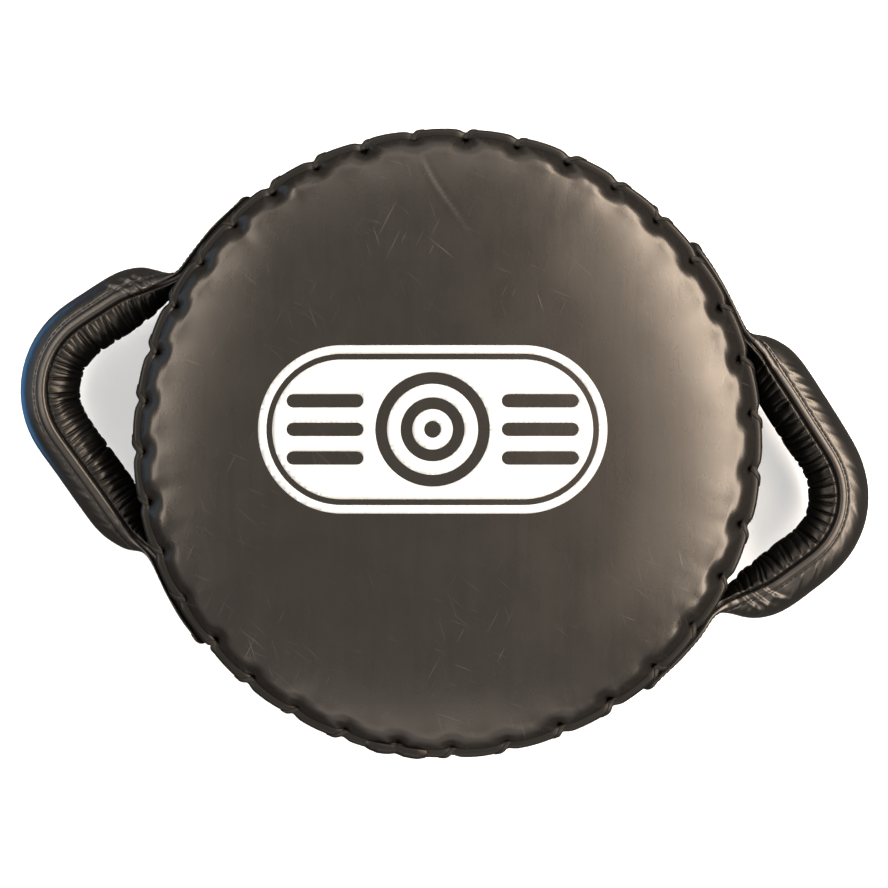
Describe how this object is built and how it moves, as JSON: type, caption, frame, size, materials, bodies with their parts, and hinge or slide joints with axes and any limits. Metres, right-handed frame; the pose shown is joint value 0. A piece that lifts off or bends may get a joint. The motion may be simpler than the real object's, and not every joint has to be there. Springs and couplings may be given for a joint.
{
  "type": "round strike shield",
  "caption": "Round padded boxing strike shield with a laced rim, a crowned leather face and a stuffed swinging loop handle on each side.",
  "frame": {"origin": "the centre of the round body's flat back, which lies on the floor; the body's axis is the Z axis", "axes": "+Z out of the strike face, +X along the printed mark towards the right-hand handle, +Y towards the top of the mark"},
  "size_m": [0.5248, 0.3819, 0.1093],
  "materials": {
    "face_leather": "satin black synthetic leather, fine smooth grain",
    "edge_leather": "satin black synthetic leather",
    "lace_leather": "matt black flat lace",
    "handle_leather": "semi-gloss black synthetic leather",
    "gathered_leather": "gathered semi-gloss black synthetic leather",
    "print_ink": "matt white screen ink",
    "thread": "black nylon thread",
    "webbing": "woven black nylon webbing",
    "soft_foam": "open cell foam",
    "dense_foam": "dense closed cell foam",
    "board_foam": "firm closed cell foam board"
  },
  "bodies": {
    "pad": {"front_panel": "face_leather", "face_print": "print_ink", "side_gusset": "edge_leather", "gusset_lap": "edge_leather", "back_panel": "face_leather", "front_edge_lace": "lace_leather", "rear_edge_lace": "lace_leather", "strike_foam": "soft_foam", "core_foam": "dense_foam", "backing_foam": "board_foam", "left_upper_tail": "handle_leather", "left_lower_tail": "handle_leather", "left_webbing_ends": "webbing", "left_tail_stitching": "thread", "right_upper_tail": "handle_leather", "right_lower_tail": "handle_leather", "right_webbing_ends": "webbing", "right_tail_stitching": "thread"},
    "left_handle": {"left_grip_outer_cover": "handle_leather", "left_grip_inner_cover": "gathered_leather", "left_grip_core": "dense_foam", "left_grip_webbing": "webbing", "left_grip_topstitch": "thread"},
    "right_handle": {"right_grip_outer_cover": "handle_leather", "right_grip_inner_cover": "gathered_leather", "right_grip_core": "dense_foam", "right_grip_webbing": "webbing", "right_grip_topstitch": "thread"}
  },
  "joints": [
    {"name": "left_handle_swing", "type": "hinge", "parent": "pad", "child": "left_handle", "pos_m": [-0.192, -0.0571, 0.0443], "axis": [0.1039, 0.9946, 0], "range_deg": [-20, 40], "stiffness_Nm_per_rad": 1.2},
    {"name": "right_handle_swing", "type": "hinge", "parent": "pad", "child": "right_handle", "pos_m": [0.192, 0.0571, 0.0443], "axis": [-0.1039, -0.9946, 0], "range_deg": [-20, 40], "stiffness_Nm_per_rad": 1.2}
  ]
}
